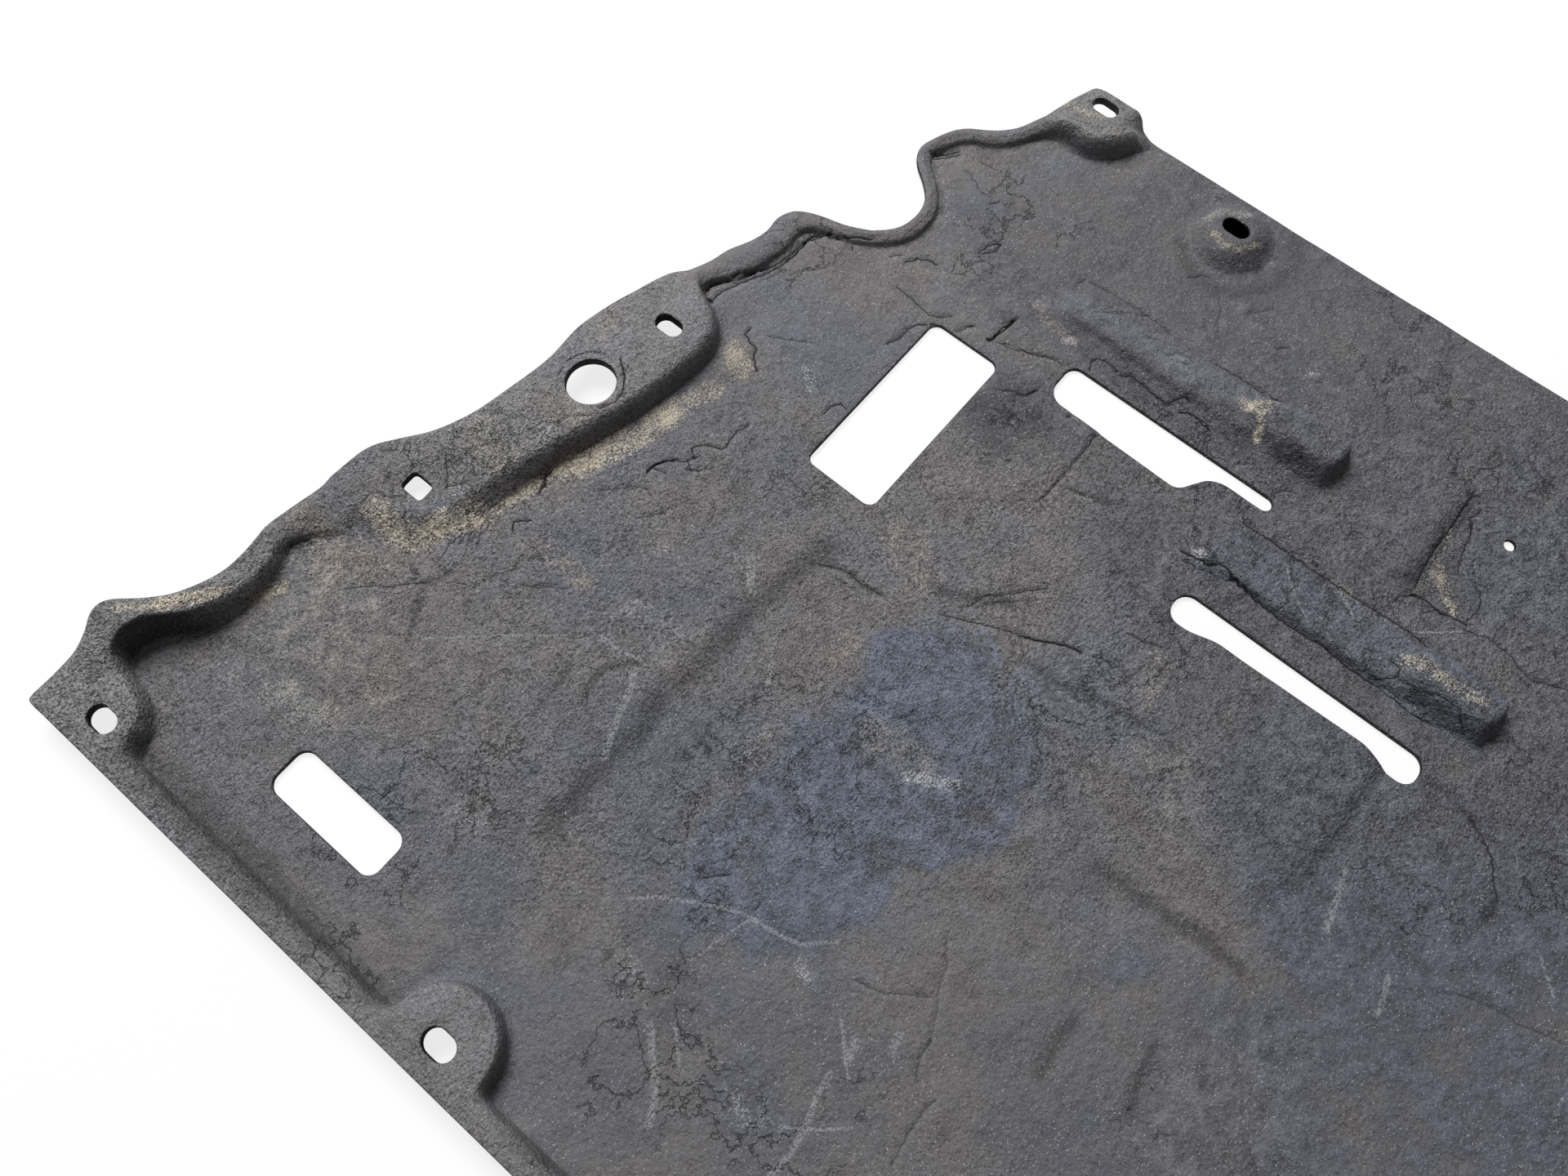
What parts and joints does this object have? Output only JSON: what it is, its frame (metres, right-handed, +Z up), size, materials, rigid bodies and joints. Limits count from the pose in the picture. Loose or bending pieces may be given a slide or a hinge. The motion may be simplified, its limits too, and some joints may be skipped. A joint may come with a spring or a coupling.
{
  "type": "under engine cover",
  "caption": "Moulded under-engine cover: a thin floor sheet with a raised, wavy fixing flange, slotted holes, cut-outs, stepped ramps and one dome.",
  "frame": {"origin": "centre of the cover in plan, on the plane its flat underside rests on", "axes": "+X to the right side with the dome, +Y to the wavy front edge, +Z up, toward the side the flange stands on"},
  "size_m": [0.6984, 0.7802, 0.0304],
  "materials": {
    "under_cover": "dull, fibrous moulded sheet, dusty and scuffed"
  },
  "bodies": {
    "root": {"under_cover": "under_cover"}
  },
  "joints": []
}
